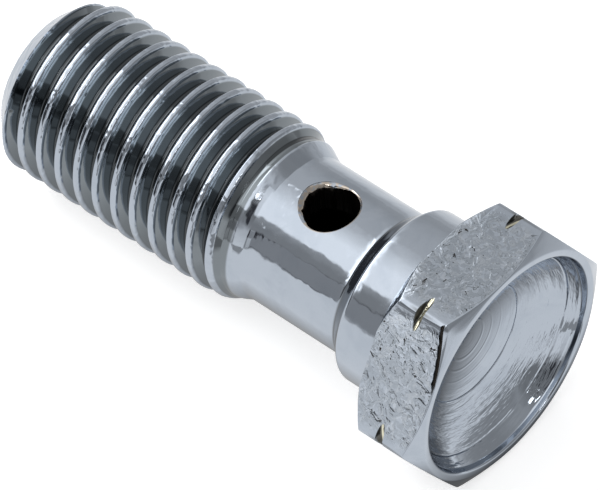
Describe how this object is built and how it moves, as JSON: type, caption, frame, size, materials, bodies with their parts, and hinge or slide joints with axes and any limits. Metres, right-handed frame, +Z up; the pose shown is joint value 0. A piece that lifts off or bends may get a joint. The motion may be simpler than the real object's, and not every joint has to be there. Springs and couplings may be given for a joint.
{
  "type": "banjo bolt",
  "caption": "Chromed hollow bolt with a hexagon head dished on top, a plain drilled neck and a full helical thread, lying on a flat of its head and its tip.",
  "frame": {"origin": "centre of the bounding box on the ground that the lying bolt touches", "axes": "+X towards the head along the bolt, which rises 3.8 degrees from the tip of the thread to the head, +Z up, -Y towards the viewer"},
  "size_m": [0.0308, 0.0148, 0.0132],
  "materials": {
    "chrome": "polished chrome plate on steel, slightly rough on the hexagon flats"
  },
  "bodies": {
    "root": {"banjo_bolt": "chrome"}
  },
  "joints": []
}
